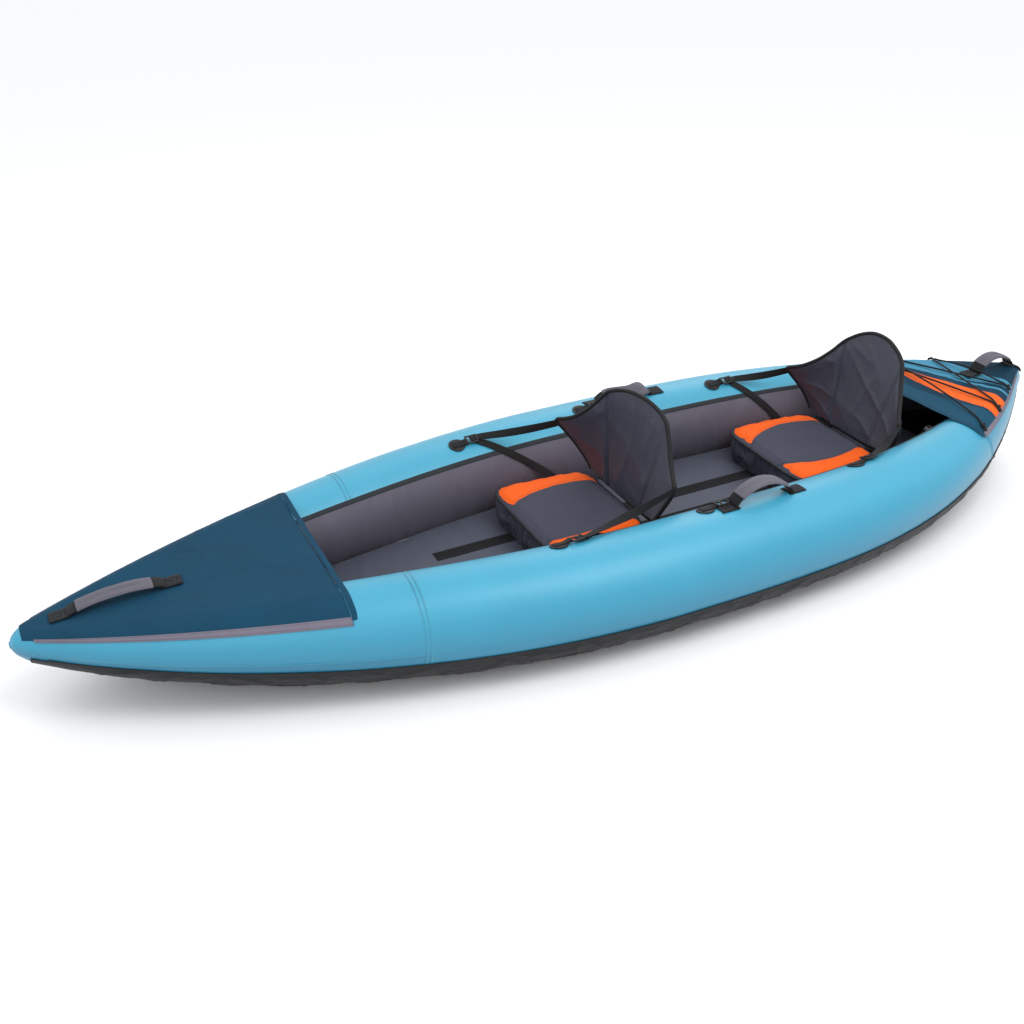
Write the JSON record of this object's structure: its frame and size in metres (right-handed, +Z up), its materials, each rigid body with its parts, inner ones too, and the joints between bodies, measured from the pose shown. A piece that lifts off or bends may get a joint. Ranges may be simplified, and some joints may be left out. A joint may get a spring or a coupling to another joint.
{
  "type": "inflatable kayak",
  "caption": "Open-cockpit inflatable kayak with side tubes, decked bow and stern, padded seats with folding strapped backrests, and carry handles",
  "frame": {"origin": "Under the middle of the hull, on the ground it rests on.", "axes": "+X to the bow, +Y to port, +Z up."},
  "size_m": [3.4, 1.122, 0.5443],
  "materials": {
    "bladder_film": "thin smooth film",
    "tube_fabric": "coated polyester, satin",
    "lining_fabric": "coated polyester, matt",
    "deck_fabric": "woven polyester, matt",
    "hull_skin": "coated tarpaulin, slightly glossy",
    "hem_tape": "double-stitched tape",
    "bungee_cord": "braided sheath over rubber",
    "grip_fabric": "padded sleeve, matt",
    "black_plastic": "moulded, semi-matt",
    "valve_plastic": "moulded, semi-matt",
    "seat_fabric": "coated polyester, matt",
    "foam": "closed-cell foam",
    "back_fabric": "coated polyester, matt",
    "binding_tape": "folded tape, stitched",
    "hook_loop": "hook-and-loop pile",
    "webbing": "woven webbing"
  },
  "bodies": {
    "hull": {"port_tube_bladder": "bladder_film", "starboard_tube_bladder": "bladder_film", "floor_bladder": "bladder_film", "port_outer_cover": "tube_fabric", "starboard_outer_cover": "tube_fabric", "port_inner_cover": "lining_fabric", "starboard_inner_cover": "lining_fabric", "port_binding": "binding_tape", "starboard_binding": "binding_tape", "hull_bottom": "hull_skin", "floor_cover": "lining_fabric", "port_floor_strip": "hook_loop", "starboard_floor_strip": "hook_loop", "bow_deck": "deck_fabric", "stern_deck": "deck_fabric", "bow_deck_hem": "hem_tape", "stern_deck_hem": "hem_tape", "deck_bungee": "bungee_cord", "bungee_loops": "webbing", "handle_tabs": "webbing", "anchor_patches": "hull_skin", "anchor_tabs": "webbing", "front_port_buckle": "black_plastic", "front_starboard_buckle": "black_plastic", "rear_port_buckle": "black_plastic", "rear_starboard_buckle": "black_plastic", "front_seat_cover": "seat_fabric", "front_seat_pad": "foam", "front_seat_welt": "binding_tape", "rear_seat_cover": "seat_fabric", "rear_seat_pad": "foam", "rear_seat_welt": "binding_tape", "front_port_back_strap": "webbing", "front_starboard_back_strap": "webbing", "rear_port_back_strap": "webbing", "rear_starboard_back_strap": "webbing", "front_port_seat_strap": "webbing", "front_starboard_seat_strap": "webbing", "rear_port_seat_strap": "webbing", "rear_starboard_seat_strap": "webbing", "port_valve_base": "valve_plastic", "starboard_valve_base": "valve_plastic", "floor_valve_base": "valve_plastic"},
    "front_backrest": {"front_backrest": "back_fabric", "front_backrest_binding": "binding_tape"},
    "rear_backrest": {"rear_backrest": "back_fabric", "rear_backrest_binding": "binding_tape"},
    "bow_handle": {"bow_handle_webbing": "webbing", "bow_handle_grip": "grip_fabric"},
    "stern_handle": {"stern_handle_webbing": "webbing", "stern_handle_grip": "grip_fabric"},
    "port_handle": {"port_handle_webbing": "webbing", "port_handle_grip": "grip_fabric"},
    "starboard_handle": {"starboard_handle_webbing": "webbing", "starboard_handle_grip": "grip_fabric"},
    "middle_port_buckle": {"middle_port_buckle": "black_plastic"},
    "middle_starboard_buckle": {"middle_starboard_buckle": "black_plastic"},
    "port_valve_cap": {"port_valve_cap": "valve_plastic"},
    "starboard_valve_cap": {"starboard_valve_cap": "valve_plastic"},
    "floor_valve_cap": {"floor_valve_cap": "valve_plastic"}
  },
  "joints": [
    {"name": "front_backrest_fold", "type": "hinge", "parent": "hull", "child": "front_backrest", "pos_m": [-0.091, 0.034, 0.193], "axis": [0, 1, 0], "range_deg": [-15, 40], "deforming": ["front_port_back_strap", "front_starboard_back_strap"]},
    {"name": "rear_backrest_fold", "type": "hinge", "parent": "hull", "child": "rear_backrest", "pos_m": [-0.969, 0.006, 0.193], "axis": [0, 1, 0], "range_deg": [-15, 45], "deforming": ["rear_port_back_strap", "rear_starboard_back_strap"]},
    {"name": "bow_handle_swing", "type": "hinge", "parent": "hull", "child": "bow_handle", "pos_m": [1.296, 0, 0.29346], "axis": [0.9981, 0, -0.0608], "range_deg": [-15, 15], "deforming": ["bow_handle_webbing"]},
    {"name": "stern_handle_swing", "type": "hinge", "parent": "hull", "child": "stern_handle", "pos_m": [-1.652, 0, 0.31276], "axis": [1, 0, -0.0052], "range_deg": [-40, 40], "deforming": ["stern_handle_webbing"]},
    {"name": "port_handle_swing", "type": "hinge", "parent": "hull", "child": "port_handle", "pos_m": [-0.424, 0.39454, 0.31843], "axis": [0.9999, 0.0142, 0.0047], "range_deg": [-45, 45], "deforming": ["port_handle_webbing"]},
    {"name": "starboard_handle_swing", "type": "hinge", "parent": "hull", "child": "starboard_handle", "pos_m": [-0.424, -0.39454, 0.31843], "axis": [0.9999, -0.0142, 0.0047], "range_deg": [-10, 60], "deforming": ["starboard_handle_webbing"]},
    {"name": "middle_port_buckle_swing", "type": "hinge", "parent": "hull", "child": "middle_port_buckle", "pos_m": [-0.187, 0.37494, 0.32175], "axis": [0, 0.9744, 0.225], "range_deg": [0, 100]},
    {"name": "middle_starboard_buckle_swing", "type": "hinge", "parent": "hull", "child": "middle_starboard_buckle", "pos_m": [-0.187, -0.37494, 0.32175], "axis": [0, 0.9744, -0.225], "range_deg": [0, 100]},
    {"name": "port_valve_cap_flip", "type": "hinge", "parent": "hull", "child": "port_valve_cap", "pos_m": [-1.13071, 0.19681, 0.27391], "axis": [-0.958, -0.2866, 0], "range_deg": [0, 135]},
    {"name": "starboard_valve_cap_flip", "type": "hinge", "parent": "hull", "child": "starboard_valve_cap", "pos_m": [-1.13071, -0.19681, 0.27391], "axis": [0.958, -0.2866, 0], "range_deg": [0, 135]},
    {"name": "floor_valve_cap_flip", "type": "hinge", "parent": "hull", "child": "floor_valve_cap", "pos_m": [-1.092, 0, 0.11285], "axis": [0, -1, 0], "range_deg": [0, 135]}
  ]
}
